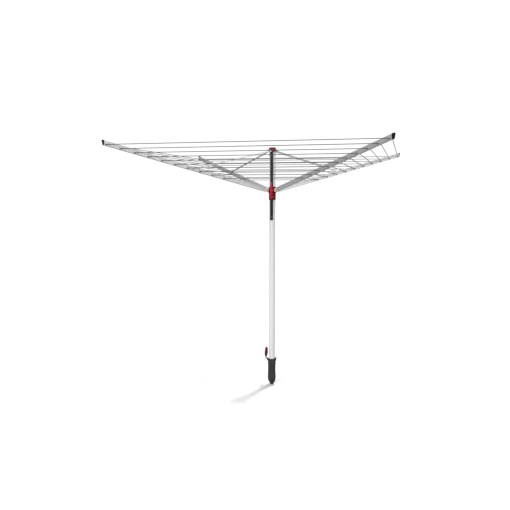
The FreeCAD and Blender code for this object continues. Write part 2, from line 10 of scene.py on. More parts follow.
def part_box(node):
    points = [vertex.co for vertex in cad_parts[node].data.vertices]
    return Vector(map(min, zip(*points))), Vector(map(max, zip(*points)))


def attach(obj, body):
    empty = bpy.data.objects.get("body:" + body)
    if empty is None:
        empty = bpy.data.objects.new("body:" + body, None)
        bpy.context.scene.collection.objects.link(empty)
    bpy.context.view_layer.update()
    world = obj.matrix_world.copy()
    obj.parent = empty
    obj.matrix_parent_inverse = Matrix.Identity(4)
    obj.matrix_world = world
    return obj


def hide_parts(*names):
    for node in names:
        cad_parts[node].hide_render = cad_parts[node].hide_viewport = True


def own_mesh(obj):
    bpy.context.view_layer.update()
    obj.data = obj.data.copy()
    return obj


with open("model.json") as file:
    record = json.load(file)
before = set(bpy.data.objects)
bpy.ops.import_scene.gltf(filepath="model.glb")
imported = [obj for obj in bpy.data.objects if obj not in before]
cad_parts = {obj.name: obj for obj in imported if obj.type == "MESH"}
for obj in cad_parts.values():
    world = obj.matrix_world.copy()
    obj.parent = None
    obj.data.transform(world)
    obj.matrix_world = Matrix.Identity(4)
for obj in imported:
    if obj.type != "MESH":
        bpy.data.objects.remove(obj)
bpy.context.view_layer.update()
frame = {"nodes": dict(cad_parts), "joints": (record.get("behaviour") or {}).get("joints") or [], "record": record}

bl_info = {
    "name": "Rotary clothesline",
    "version": (1, 0, 0),
    "blender": (4, 5, 0),
    "location": "View3D > Sidebar > Clothesline",
    "description": "Finishes a rotary clothesline: mouldings, lines, materials and stage",
    "category": "Object",
}

JOINTS = {joint["name"]: joint for joint in frame["joints"]}
ARMS = (1, 2, 3, 4)
SIDES = (-1, 1)
UP = Vector((0, 0, 1))
FULL_TURN = math.radians(360)

# ---------------------------------------------------------------- details, lengths in metres
MODEL_LINE_RADIUS = 0.0024       # of the plain lines that the finished ones take the place of

WAIST_RADIUS = 0.0302            # of the socket's waist
WAIST_MIDDLE = 0.134             # height of the waist's middle
RIB_COUNT = 12
RIB_SIZE = (0.0024, 0.0026, 0.046)

LID_BEAD_SHARES = (0.80, 0.92)   # of the lid's radius
CAP_BEAD_REACHES = (0.010, 0.020)
FINE_BEAD = 0.0009               # radius of the beads on the lid and the top cap

COLLAR_RADIUS = 0.028
COLLAR_BEAD = 0.0011
COLLAR_BEAD_FEET = (0.005, 0.030)    # heights of the two lower beads above the collar's foot
COLLAR_BEAD_DROP = 0.004         # of the top bead below the collar's top
COLLAR_CLEAR = math.radians(34)  # left free on each side of the lever

GRIP_COUNT = 6
GRIP_FIRST = 0.0155              # height of the lowest grip rib above the lever's foot
GRIP_PITCH = 0.0045
GRIP_SIZE = (0.0155, 0.0016, 0.0018)
LEVER_FULLEST = 0.040            # height above its foot where the lever stands out furthest
LEVER_SLOPE = 0.0025 / 0.030
LEVER_EDGE_SHARE = 1.8           # the lever's edges are rounder than the other mouldings'

ARM_HALF_WIDTH = 0.009
FLUTE_MIDDLE = 0.6835            # along the arm, from its pivot
FLUTE_SIZE = (1.315, 0.0009, 0.0026)
FLUTE_LEVELS = (0.0035, 0.0120)  # above the arm's middle

ROUND_SIDES = 10                 # of a line or a bead
BEAD_STEPS = 64
BEND_STEPS = 6
SHARP_ANGLE = math.radians(30)   # edges sharper than this are rounded
FLAT_ANGLE = math.radians(0.6)   # faces closer than this are one flat face
WELD_DISTANCE = 1e-6

# ---------------------------------------------------------------- fixed colours
SLEEVE_BLACK = (0.05, 0.05, 0.054)
PLUG_BLACK = (0.03, 0.03, 0.032)
BUSH_WHITE = (0.7, 0.7, 0.68)
DUST_PALE = (0.40, 0.36, 0.30)
STRAP_SHADE = 0.6                # of the lid's colour
WHITE = (1.0, 1.0, 1.0, 1.0)

# ---------------------------------------------------------------- studio light
AMBIENT_STRENGTH = 0.40
BACKDROP_STRENGTH = 1.05         # the background that the camera sees
SUNS = (                         # name, strength, spread in degrees, direction towards the sun
    ("overhead", 2.7, 4.5, (0.086, 0.243, 0.966)),
    ("front_left", 2.45, 34, (-0.221, -0.818, 0.530)),
    ("right", 0.75, 40, (0.950, -0.257, 0.174)),
)
SUN_DISTANCE = 6.0


# ---------------------------------------------------------------- settings
def colour_property(name, description, default):
    return FloatVectorProperty(name=name, description=description, default=default,
                               subtype="COLOR", size=3, min=0.0, max=1.0)


class ClotheslineColours(bpy.types.PropertyGroup):
    mast: colour_property("Mast", "Powder coat of the mast", (0.775, 0.775, 0.775))
    rack: colour_property("Rack", "Toothed strip on the mast", (0.020, 0.020, 0.021))
    hub: colour_property("Top hub", "Moulded hub and its cap", (0.165, 0.026, 0.038))
    runner: colour_property("Runner", "Sliding collar", (0.095, 0.010, 0.010))
    lever: colour_property("Lever", "Release lever", (0.38, 0.017, 0.028))
    socket: colour_property("Socket", "Ground socket", (0.040, 0.040, 0.042))
    lid: colour_property("Lid", "Socket lid", (0.160, 0.006, 0.013))
    aluminium: colour_property("Aluminium", "Arms and struts", (0.58, 0.585, 0.59))
    heel: colour_property("Arm heel", "Moulded inner ends of the arms", (0.72, 0.60, 0.53))
    tip: colour_property("Tip cap", "Moulded outer ends of the arms", (0.008, 0.008, 0.009))
    guide: colour_property("Line guide", "Bushes that carry the lines", (0.36, 0.365, 0.37))
    line: colour_property("Line", "Sheath of the lines", (0.050, 0.051, 0.053))
    steel: colour_property("Steel", "Zinc-plated fasteners", (0.52, 0.52, 0.53))


class ClotheslineSizes(bpy.types.PropertyGroup):
    line_radius: FloatProperty(name="Line radius", description="Half the line's thickness",
                               default=0.0024, min=0.001, max=0.004, unit="LENGTH")
    line_pitch: FloatProperty(name="Line pitch", description="Gap between rings, outwards",
                              default=0.1013, min=0.05, max=0.2, unit="LENGTH")
    line_count: IntProperty(name="Rings", description="How many square rings of line",
                            default=10, min=1, max=20)
    line_bend: FloatProperty(name="Line bend", description="Bend of a line in its guide",
                             default=0.008, min=0.004, max=0.02, unit="LENGTH")
    moulded_edge: FloatProperty(name="Moulded edge", description="Rounding of moulded edges",
                                default=0.0007, min=0.0001, max=0.002, unit="LENGTH")
    metal_edge: FloatProperty(name="Metal edge", description="Rounding of metal edges",
                              default=0.0004, min=0.0001, max=0.001, unit="LENGTH")


class ClotheslineStage(bpy.types.PropertyGroup):
    floor: colour_property("Floor", "Studio floor", (0.73, 0.73, 0.73))
    floor_size: FloatProperty(name="Floor size", description="Side of the floor",
                              default=120.0, min=10.0, max=400.0, unit="LENGTH")
    distance: FloatProperty(name="Camera distance", description="From the mast's axis",
                            default=4.8, min=1.0, max=20.0, unit="LENGTH")
    azimuth: FloatProperty(name="Azimuth", description="Round the mast from the lever's side",
                           default=math.radians(12.84), subtype="ANGLE")
    height: FloatProperty(name="Camera height", description="Above the socket's tip",
                          default=1.6124, min=0.1, max=5.0, unit="LENGTH")
    tilt: FloatProperty(name="Tilt", description="Camera pitched down",
                        default=math.radians(6.18), subtype="ANGLE")
    turn: FloatProperty(name="Turn", description="Camera turned to the right",
                        default=math.radians(-1.68), subtype="ANGLE")
    lens: FloatProperty(name="Lens", description="Focal length in millimetres",
                        default=41.43, min=10.0, max=200.0)


# ---------------------------------------------------------------- shader helpers
def add_node(tree, kind, inputs=None, **settings):
    made = tree.nodes.new(kind)
    for key, value in settings.items():
        setattr(made, key, value)
    for key, value in (inputs or {}).items():
        made.inputs[key].default_value = value
    return made


def new_material(name, colour, roughness, metallic=0.0):
    """A material whose shader holds the constant values; patterns are linked in afterwards."""
    material = bpy.data.materials.new(name)
    material.use_nodes = True
    shader = material.node_tree.nodes["Principled BSDF"]
    shader.inputs["Base Color"].default_value = (*colour, 1.0)
    shader.inputs["Roughness"].default_value = roughness
    shader.inputs["Metallic"].default_value = metallic
    return material, material.node_tree, shader


def object_coords(tree, scale=(1, 1, 1), turns=()):
    """Object coordinates, turned in order, then stretched."""
    socket = add_node(tree, "ShaderNodeTexCoord").outputs["Object"]
    for turn in turns:
        turned = add_node(tree, "ShaderNodeMapping", {"Rotation": turn})
        tree.links.new(socket, turned.inputs["Vector"])
        socket = turned.outputs["Vector"]
    stretched = add_node(tree, "ShaderNodeMapping", {"Scale": scale})
    tree.links.new(socket, stretched.inputs["Vector"])
    return stretched.outputs["Vector"]


def noise(tree, coords, scale, detail=3.0):
    made = add_node(tree, "ShaderNodeTexNoise", {"Scale": scale, "Detail": detail})
    tree.links.new(coords, made.inputs["Vector"])
    return made.outputs["Fac"]


def remap(tree, value, low, high, start=0.3, end=0.7):
    made = add_node(tree, "ShaderNodeMapRange",
                    {"From Min": start, "From Max": end, "To Min": low, "To Max": high})
    tree.links.new(value, made.inputs["Value"])
    return made.outputs["Result"]


def blend_colours(tree, factor, first, second):
    """first and second are colours or sockets; factor is a socket."""
    made = add_node(tree, "ShaderNodeMix", data_type="RGBA")
    tree.links.new(factor, made.inputs["Factor"])
    for name, value in (("A", first), ("B", second)):
        target = [s for s in made.inputs if s.name == name and s.type == "RGBA"][0]
        if isinstance(value, bpy.types.NodeSocket):
            tree.links.new(value, target)
        else:
            target.default_value = (*value, 1.0)
    return [s for s in made.outputs if s.type == "RGBA"][0]


def scaled(colour, factor):
    return tuple(min(1.0, channel * factor) for channel in colour)


def bump(tree, shader, height, strength, distance):
    made = add_node(tree, "ShaderNodeBump", {"Strength": strength, "Distance": distance})
    tree.links.new(height, made.inputs["Height"])
    tree.links.new(made.outputs["Normal"], shader.inputs["Normal"])


# ---------------------------------------------------------------- finishes
def moulded_plastic(name, colour, roughness=0.42, grain=0.25):
    """Injection moulding: faint flow mottling, spark-eroded grain, uneven sheen and light dust."""
    material, tree, shader = new_material(name, colour, roughness)
    shader.inputs["Specular IOR Level"].default_value = 0.14
    coords = object_coords(tree)
    flow = noise(tree, coords, 38.0, 4.0)
    body = blend_colours(tree, remap(tree, flow, 0.0, 1.0), scaled(colour, 0.86),
                         scaled(colour, 1.12))
    scuff = noise(tree, object_coords(tree, (900, 900, 260)), 1.0, 5.0)
    marks = remap(tree, scuff, 0.0, 0.25, 0.62, 0.80)
    pale = tuple(0.90 * channel + 0.02 for channel in colour)
    tree.links.new(blend_colours(tree, marks, body, pale), shader.inputs["Base Color"])
    sheen = noise(tree, coords, 110.0, 3.0)
    tree.links.new(remap(tree, sheen, roughness - 0.07, roughness + 0.10),
                   shader.inputs["Roughness"])
    bump(tree, shader, noise(tree, coords, 1900.0, 2.0), grain, 0.00025)
    return material


def powder_coat(name, colour):
    """Powder-coated tube: orange peel, long rub marks from the runner, a little soil at the foot."""
    material, tree, shader = new_material(name, colour, 0.42)
    shader.inputs["Specular IOR Level"].default_value = 0.25
    coords = object_coords(tree)
    rubbed = noise(tree, object_coords(tree, (420, 420, 5)), 1.0, 4.0)
    coat = blend_colours(tree, remap(tree, rubbed, 0.0, 1.0, 0.35, 0.75), colour,
                         scaled(colour, 0.90))
    height = add_node(tree, "ShaderNodeSeparateXYZ")
    tree.links.new(coords, height.inputs["Vector"])
    low = remap(tree, height.outputs["Z"], 0.55, 0.0, 0.22, 0.62)
    speckle = remap(tree, noise(tree, coords, 260.0, 6.0), 0.0, 1.0, 0.50, 0.72)
    soil = add_node(tree, "ShaderNodeMath", operation="MULTIPLY")
    tree.links.new(low, soil.inputs[0])
    tree.links.new(speckle, soil.inputs[1])
    tree.links.new(blend_colours(tree, soil.outputs["Value"], coat, DUST_PALE),
                   shader.inputs["Base Color"])
    tree.links.new(remap(tree, rubbed, 0.36, 0.52), shader.inputs["Roughness"])
    bump(tree, shader, noise(tree, coords, 620.0, 2.0), 0.18, 0.0003)
    return material


def drawn_aluminium(name, colour, azimuth=0.0, slope=0.0):
    """Anodised section with fine draw lines that run along it."""
    material, tree, shader = new_material(name, colour, 0.36, 0.55)
    turns = ((0, 0, -azimuth), (0, slope, 0))
    lines = noise(tree, object_coords(tree, (3.0, 900, 900), turns), 1.0, 5.0)
    broad = noise(tree, object_coords(tree, (2.0, 60, 60), turns), 1.0, 3.0)
    metal = blend_colours(tree, remap(tree, lines, 0.0, 1.0), scaled(colour, 0.84),
                          scaled(colour, 1.10))
    cloudy = blend_colours(tree, remap(tree, broad, 0.0, 0.5), metal, scaled(colour, 0.92))
    tree.links.new(cloudy, shader.inputs["Base Color"])
    tree.links.new(remap(tree, lines, 0.28, 0.46), shader.inputs["Roughness"])
    bump(tree, shader, lines, 0.16, 0.0002)
    return material


def zinc_steel(name, colour):
    """Zinc-plated steel: crystalline patches and fine turning marks."""
    material, tree, shader = new_material(name, colour, 0.34, 0.9)
    coords = object_coords(tree)
    flakes = add_node(tree, "ShaderNodeTexVoronoi", {"Scale": 700.0})
    tree.links.new(coords, flakes.inputs["Vector"])
    grey = add_node(tree, "ShaderNodeRGBToBW")
    tree.links.new(flakes.outputs["Color"], grey.inputs["Color"])
    patches = remap(tree, grey.outputs["Val"], 0.0, 1.0, 0.1, 0.9)
    tree.links.new(blend_colours(tree, patches, scaled(colour, 0.80), scaled(colour, 1.15)),
                   shader.inputs["Base Color"])
    tree.links.new(remap(tree, patches, 0.26, 0.46, 0.0, 1.0), shader.inputs["Roughness"])
    bump(tree, shader, noise(tree, coords, 1500.0, 3.0), 0.15, 0.0002)
    return material


def line_sheath(name, colour, along_x):
    """Plastic line sheath: the core's lay shows through as fine slanting ribs."""
    material, tree, shader = new_material(name, colour, 0.5)
    shader.inputs["Specular IOR Level"].default_value = 0.2
    turn = (0, 0, 0) if along_x else (0, 0, math.radians(90))
    slant = (0, math.radians(28), 0)
    coords = object_coords(tree, (1, 1, 1), (turn, slant))
    lay = add_node(tree, "ShaderNodeTexWave", {"Scale": 95.0, "Distortion": 0.6,
                                              "Detail": 1.0})
    tree.links.new(coords, lay.inputs["Vector"])
    plain = object_coords(tree)
    patchy = noise(tree, plain, 24.0, 3.0)
    weathered = blend_colours(tree, remap(tree, patchy, 0.0, 1.0), scaled(colour, 0.85),
                              scaled(colour, 1.20))
    ribbed = blend_colours(tree, remap(tree, lay.outputs["Fac"], 0.0, 0.45, 0.1, 0.9),
                           weathered, scaled(colour, 0.62))
    tree.links.new(ribbed, shader.inputs["Base Color"])
    tree.links.new(remap(tree, patchy, 0.38, 0.55), shader.inputs["Roughness"])
    bump(tree, shader, lay.outputs["Fac"], 0.3, 0.0003)
    return material


# ---------------------------------------------------------------- mesh helpers
def arm_frame(k):
    """Pivot, unit axis of the arm and unit radial direction of arm k, from the frame."""
    pivot = Vector(JOINTS["arm_%d_fold" % k]["pos_m"])
    low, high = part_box("arm_%d_tube" % k)
    axis = ((low + high) / 2 - pivot).normalized()
    return pivot, axis, Vector((axis.x, axis.y, 0)).normalized()


def finish_mesh(bm, name, material, body, smooth_angle=32.0):
    """Closes a bmesh into a piece that rides on a body, smooth except at sharp edges."""
    mesh = bpy.data.meshes.new(name)
    bm.to_mesh(mesh)
    bm.free()
    mesh.polygons.foreach_set("use_smooth", [True] * len(mesh.polygons))
    mesh.set_sharp_from_angle(angle=math.radians(smooth_angle))
    piece = bpy.data.objects.new(name, mesh)
    bpy.context.scene.collection.objects.link(piece)
    mesh.materials.append(material)
    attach(piece, body)
    return piece


def weigh_normals(piece):
    """Evens the shading across the rounded edges."""
    weighted = piece.modifiers.new("Even shading", "WEIGHTED_NORMAL")
    weighted.keep_sharp = True


def softened(node, name, material, edge, body):
    """A piece in the shape of a CAD node, with its sharp edges rounded as a real one's are."""
    bm = bmesh.new()
    bm.from_mesh(frame["nodes"][node].data)
    bmesh.ops.remove_doubles(bm, verts=bm.verts, dist=WELD_DISTANCE)
    bmesh.ops.dissolve_limit(bm, angle_limit=FLAT_ANGLE, use_dissolve_boundaries=False,
                             verts=bm.verts, edges=bm.edges)
    sharp = [e for e in bm.edges if e.is_manifold and e.calc_face_angle(0.0) > SHARP_ANGLE]
    bmesh.ops.bevel(bm, geom=sharp, offset=edge, offset_type="OFFSET", affect="EDGES",
                    segments=2, profile=0.5, material=-1, clamp_overlap=True)
    piece = finish_mesh(bm, name, material, body, smooth_angle=40.0)
    weigh_normals(piece)
    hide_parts(node)
    return piece


def rounded_block(bm, centre, size, turn, edge):
    """Adds a block with rounded edges, turned about its centre."""
    verts = bmesh.ops.create_cube(bm, size=1.0)["verts"]
    bmesh.ops.scale(bm, verts=verts, vec=size)
    bmesh.ops.rotate(bm, verts=verts, cent=(0, 0, 0), matrix=turn)
    bmesh.ops.translate(bm, verts=verts, vec=centre)
    edges = list({e for v in verts for e in v.link_edges})
    bmesh.ops.bevel(bm, geom=edges, offset=edge, offset_type="OFFSET", affect="EDGES",
                    segments=2, profile=0.5, material=-1, clamp_overlap=True)


def bead(bm, centre, axis, first, sweep, radius):
    """Adds a round bead: a small circle at centre + first, swept about an axis."""
    whole = sweep > math.radians(359.9)
    section = bmesh.ops.create_circle(bm, cap_ends=not whole, segments=ROUND_SIDES,
                                      radius=radius)
    verts = section["verts"]
    travel = axis.cross(first).normalized()
    bmesh.ops.rotate(bm, verts=verts, cent=(0, 0, 0),
                     matrix=UP.rotation_difference(travel).to_matrix())
    bmesh.ops.translate(bm, verts=verts, vec=centre + first)
    edges = list({e for v in verts for e in v.link_edges})
    faces = list({f for v in verts for f in v.link_faces})
    bmesh.ops.spin(bm, geom=verts + edges + faces, cent=centre, axis=axis, angle=sweep,
                   steps=BEAD_STEPS, use_merge=whole, use_normal_flip=False)
    bmesh.ops.recalc_face_normals(bm, faces=bm.faces)


def paint(node, material):
    """Gives a carried-over CAD node its material."""
    slots = frame["nodes"][node].data.materials
    slots.clear()
    slots.append(material)


def settings():
    scene = bpy.context.scene
    return scene.clothesline_colours, scene.clothesline_sizes, scene.clothesline_stage


def once(name, make, *values):
    """A material by name, made the first time it is asked for. The prefix keeps it apart from
    the plain materials that come with the frame under the same names."""
    own = "finished_" + name
    return bpy.data.materials.get(own) or make(own, *values)


def steel():
    return once("zinc_steel", zinc_steel, tuple(settings()[0].steel))


# ---------------------------------------------------------------- operators
class CLOTHESLINE_OT_stage(bpy.types.Operator):
    """Lay the floor, set the soft studio lights and place the camera"""
    bl_idname = "clothesline.stage"
    bl_label = "Stage"

    def execute(self, context):
        stage = settings()[2]
        self.lay_floor(stage)
        self.light(context.scene)
        self.place_camera(context.scene, stage)
        return {"FINISHED"}

    def lay_floor(self, stage):
        bm = bmesh.new()
        bmesh.ops.create_grid(bm, x_segments=1, y_segments=1, size=stage.floor_size / 2)
        mesh = bpy.data.meshes.new("studio_floor")
        bm.to_mesh(mesh)
        bm.free()
        floor = bpy.data.objects.new("studio_floor", mesh)
        bpy.context.scene.collection.objects.link(floor)
        material, tree, shader = new_material("studio_floor", stage.floor, 0.9)
        shader.inputs["Specular IOR Level"].default_value = 0.1
        tone = remap(tree, noise(tree, object_coords(tree), 3.0, 2.0), 0.0, 1.0)
        tree.links.new(blend_colours(tree, tone, tuple(stage.floor), scaled(stage.floor, 0.99)),
                       shader.inputs["Base Color"])
        mesh.materials.append(material)
        floor.visible_diffuse = False
        floor.visible_glossy = False

    def light(self, scene):
        world = bpy.data.worlds.new("studio")
        scene.world = world
        world.use_nodes = True
        tree = world.node_tree
        ambient = tree.nodes["Background"]
        ambient.inputs["Color"].default_value = WHITE
        ambient.inputs["Strength"].default_value = AMBIENT_STRENGTH
        backdrop = add_node(tree, "ShaderNodeBackground",
                            {"Color": WHITE, "Strength": BACKDROP_STRENGTH})
        path = add_node(tree, "ShaderNodeLightPath")
        mix = add_node(tree, "ShaderNodeMixShader")
        tree.links.new(path.outputs["Is Camera Ray"], mix.inputs["Fac"])
        tree.links.new(ambient.outputs["Background"], mix.inputs[1])
        tree.links.new(backdrop.outputs["Background"], mix.inputs[2])
        tree.links.new(mix.outputs["Shader"], tree.nodes["World Output"].inputs["Surface"])
        for name, strength, spread, towards in SUNS:
            self.add_sun(name, strength, math.radians(spread), towards)
        scene.view_settings.view_transform = "Standard"

    def add_sun(self, name, strength, spread, towards):
        lamp = bpy.data.lights.new(name, "SUN")
        lamp.energy = strength
        lamp.angle = spread
        sun = bpy.data.objects.new(name, lamp)
        sun.rotation_mode = "QUATERNION"
        sun.rotation_quaternion = Vector(towards).to_track_quat("Z", "Y")
        sun.location = Vector(towards) * SUN_DISTANCE
        bpy.context.scene.collection.objects.link(sun)

    def place_camera(self, scene, stage):
        lens = bpy.data.cameras.new("camera")
        lens.lens = stage.lens
        lens.sensor_width = 36.0
        lens.clip_end = 400.0
        camera = bpy.data.objects.new("camera", lens)
        scene.collection.objects.link(camera)
        around = Matrix.Rotation(stage.azimuth, 4, "Z")
        back = Matrix.Translation((0, -stage.distance, stage.height))
        turn = Matrix.Rotation(-stage.turn, 4, "Z")
        tilt = Matrix.Rotation(math.radians(90) - stage.tilt, 4, "X")
        camera.matrix_world = around @ back @ turn @ tilt
        scene.camera = camera


class CLOTHESLINE_OT_ground_socket(bpy.types.Operator):
    """Finish the ground socket, its bearing sleeve and the lid's hinge pin"""
    bl_idname = "clothesline.ground_socket"
    bl_label = "Ground socket"

    def execute(self, context):
        colours, sizes, _ = settings()
        black = once("socket_plastic", moulded_plastic, tuple(colours.socket), 0.46, 0.3)
        softened("socket_body", "ground_socket", black, sizes.moulded_edge, "socket")
        self.waist_ribs(black, sizes)
        sleeve = once("sleeve_plastic", moulded_plastic, SLEEVE_BLACK, 0.4, 0.2)
        softened("socket_sleeve", "bearing_sleeve", sleeve, sizes.moulded_edge, "sleeve")
        paint("lid_hinge_pin", steel())
        return {"FINISHED"}

    def waist_ribs(self, material, sizes):
        """Upright ribs round the waist, which key the socket into the ground."""
        bm = bmesh.new()
        for step in range(RIB_COUNT):
            angle = FULL_TURN * (step + 0.5) / RIB_COUNT
            centre = Vector((math.cos(angle), math.sin(angle), 0)) * WAIST_RADIUS
            centre.z = WAIST_MIDDLE
            rounded_block(bm, centre, RIB_SIZE, Matrix.Rotation(angle, 3, "Z"),
                          sizes.moulded_edge)
        finish_mesh(bm, "socket_waist_ribs", material, "socket")


class CLOTHESLINE_OT_socket_lid(bpy.types.Operator):
    """Finish the socket lid and its strap"""
    bl_idname = "clothesline.socket_lid"
    bl_label = "Socket lid"

    def execute(self, context):
        colours, sizes, _ = settings()
        red = once("lid_plastic", moulded_plastic, tuple(colours.lid), 0.38, 0.2)
        softened("socket_lid", "lid_disc", red, sizes.moulded_edge, "lid")
        self.rim_beads(red)
        dark_red = once("strap_plastic", moulded_plastic, scaled(colours.lid, STRAP_SHADE),
                        0.5, 0.3)
        softened("lid_strap", "lid_hinge_strap", dark_red, sizes.moulded_edge, "lid")
        return {"FINISHED"}

    def rim_beads(self, material):
        """Two raised rings on the lid's outer face."""
        low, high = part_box("socket_lid")
        middle = Vector((low.x, 0, (low.z + high.z) / 2))
        bm = bmesh.new()
        for share in LID_BEAD_SHARES:
            bead(bm, middle, Vector((1, 0, 0)), UP * share * (high.z - low.z) / 2,
                 FULL_TURN, FINE_BEAD)
        finish_mesh(bm, "lid_rim_beads", material, "lid")


class CLOTHESLINE_OT_mast(bpy.types.Operator):
    """Finish the mast tube, its foot plug and the toothed rack"""
    bl_idname = "clothesline.mast"
    bl_label = "Mast"

    def execute(self, context):
        colours, sizes, _ = settings()
        coat = once("mast_coating", powder_coat, tuple(colours.mast))
        softened("mast_tube", "mast", coat, sizes.metal_edge, "mast")
        paint("mast_foot_plug", once("plug_plastic", moulded_plastic, PLUG_BLACK, 0.5, 0.3))
        rack = once("rack_plastic", moulded_plastic, tuple(colours.rack), 0.36, 0.2)
        softened("rack_strip", "height_rack", rack, sizes.metal_edge, "mast")
        paint("rack_rivets", steel())
        return {"FINISHED"}


class CLOTHESLINE_OT_top_hub(bpy.types.Operator):
    """Finish the top hub, its cap, screws and strut pins"""
    bl_idname = "clothesline.top_hub"
    bl_label = "Top hub"

    def execute(self, context):
        colours, sizes, _ = settings()
        red = once("hub_plastic", moulded_plastic, tuple(colours.hub), 0.36, 0.2)
        softened("top_hub", "top_hub_moulding", red, sizes.moulded_edge, "mast")
        softened("top_cap", "top_hub_cap", red, sizes.moulded_edge, "mast")
        self.cap_beads(red)
        softened("strut_pivot_pins", "strut_pins", steel(), sizes.metal_edge, "mast")
        softened("hub_screws", "hub_fixing_screws", steel(), sizes.metal_edge, "mast")
        return {"FINISHED"}

    def cap_beads(self, material):
        """Two raised rings on top of the cap."""
        top = Vector((0, 0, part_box("top_cap")[1].z))
        bm = bmesh.new()
        for reach in CAP_BEAD_REACHES:
            bead(bm, top, UP, Vector((reach, 0, 0)), FULL_TURN, FINE_BEAD)
        finish_mesh(bm, "top_cap_beads", material, "mast")


class CLOTHESLINE_OT_runner(bpy.types.Operator):
    """Finish the runner, its bushes and the arm pivot pins"""
    bl_idname = "clothesline.runner"
    bl_label = "Runner"

    def execute(self, context):
        colours, sizes, _ = settings()
        red = once("runner_plastic", moulded_plastic, tuple(colours.runner), 0.4, 0.25)
        softened("runner_body", "runner_collar", red, sizes.moulded_edge, "runner")
        self.collar_beads(red)
        paint("runner_bushes", once("bush_plastic", moulded_plastic, BUSH_WHITE, 0.35, 0.1))
        softened("arm_pivot_pins", "arm_pins", steel(), sizes.metal_edge, "runner")
        softened("lever_pivot_pin", "lever_pin", steel(), sizes.metal_edge, "runner")
        paint("lever_spring", steel())
        return {"FINISHED"}

    def collar_beads(self, material):
        """Stiffening beads round the collar, from one lever cheek to the other."""
        low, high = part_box("runner_body")
        first = Vector((math.sin(COLLAR_CLEAR), -math.cos(COLLAR_CLEAR), 0)) * COLLAR_RADIUS
        levels = [low.z + height for height in COLLAR_BEAD_FEET]
        levels.append(high.z - COLLAR_BEAD_DROP)
        bm = bmesh.new()
        for level in levels:
            bead(bm, Vector((0, 0, level)), UP, first, FULL_TURN - 2 * COLLAR_CLEAR,
                 COLLAR_BEAD)
        finish_mesh(bm, "runner_collar_beads", material, "runner")


class CLOTHESLINE_OT_lever(bpy.types.Operator):
    """Finish the release lever and its pawl"""
    bl_idname = "clothesline.lever"
    bl_label = "Release lever"

    def execute(self, context):
        colours, sizes, _ = settings()
        red = once("lever_plastic", moulded_plastic, tuple(colours.lever), 0.3, 0.12)
        softened("release_lever", "lever_handle", red, LEVER_EDGE_SHARE * sizes.moulded_edge,
                 "lever")
        self.grip_ribs(red, sizes)
        paint("lever_pawl", steel())
        return {"FINISHED"}

    def grip_ribs(self, material, sizes):
        """Cross ribs on the lower half of the lever, for the thumb."""
        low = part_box("release_lever")[0]
        bm = bmesh.new()
        for step in range(GRIP_COUNT):
            up = GRIP_FIRST + GRIP_PITCH * step
            centre = Vector((0, low.y + (LEVER_FULLEST - up) * LEVER_SLOPE, low.z + up))
            rounded_block(bm, centre, GRIP_SIZE, Matrix.Rotation(LEVER_SLOPE, 3, "X"),
                          sizes.metal_edge)
        finish_mesh(bm, "lever_grip_ribs", material, "lever")


class CLOTHESLINE_OT_arms(bpy.types.Operator):
    """Finish the arms: tubes, heels, tip caps, line bushes and rivets"""
    bl_idname = "clothesline.arms"
    bl_label = "Arms"

    def execute(self, context):
        colours, sizes, _ = settings()
        heel = once("heel_plastic", moulded_plastic, tuple(colours.heel), 0.42, 0.2)
        tip = once("tip_plastic", moulded_plastic, tuple(colours.tip), 0.42, 0.25)
        guide = once("guide_plastic", moulded_plastic, tuple(colours.guide), 0.42, 0.2)
        for k in ARMS:
            body = "arm_%d" % k
            _, axis, _ = arm_frame(k)
            metal = drawn_aluminium("arm_%d_aluminium" % k, tuple(colours.aluminium),
                                    math.atan2(axis.y, axis.x), math.asin(axis.z))
            softened(body + "_tube", body + "_section", metal, sizes.metal_edge, body)
            self.flutes(k, metal, sizes)
            softened(body + "_heel", body + "_inner_end", heel, sizes.moulded_edge, body)
            softened(body + "_tip_cap", body + "_outer_cap", tip, sizes.moulded_edge, body)
            softened(body + "_line_guides", body + "_line_bushes", guide, sizes.metal_edge,
                     body)
            softened(body + "_rivet", body + "_joint_rivet", steel(), sizes.metal_edge, body)
        return {"FINISHED"}

    def flutes(self, k, material, sizes):
        """Raised lines of the extrusion along both sides of an arm, above its bushes."""
        pivot, axis, radial = arm_frame(k)
        sideways = UP.cross(radial)
        upwards = axis.cross(sideways)
        turn = Matrix((axis, sideways, upwards)).transposed()
        bm = bmesh.new()
        for side in SIDES:
            for level in FLUTE_LEVELS:
                centre = (pivot + axis * FLUTE_MIDDLE + sideways * side * ARM_HALF_WIDTH
                          + upwards * level)
                rounded_block(bm, centre, FLUTE_SIZE, turn, sizes.metal_edge / 2)
        finish_mesh(bm, "arm_%d_flutes" % k, material, "arm_%d" % k)


class CLOTHESLINE_OT_struts(bpy.types.Operator):
    """Finish the struts and their rivets"""
    bl_idname = "clothesline.struts"
    bl_label = "Struts"

    def execute(self, context):
        colours, sizes, _ = settings()
        for k in ARMS:
            body = "strut_%d" % k
            _, _, radial = arm_frame(k)
            low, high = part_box(body + "_channel")
            drop = math.atan2(high.z - low.z, (high - low).xy.length)
            metal = drawn_aluminium("strut_%d_aluminium" % k, tuple(colours.aluminium),
                                    math.atan2(radial.y, radial.x), -drop)
            softened(body + "_channel", body + "_section", metal, sizes.metal_edge, body)
            softened(body + "_rivet", body + "_joint_rivet", steel(), sizes.metal_edge, body)
        return {"FINISHED"}


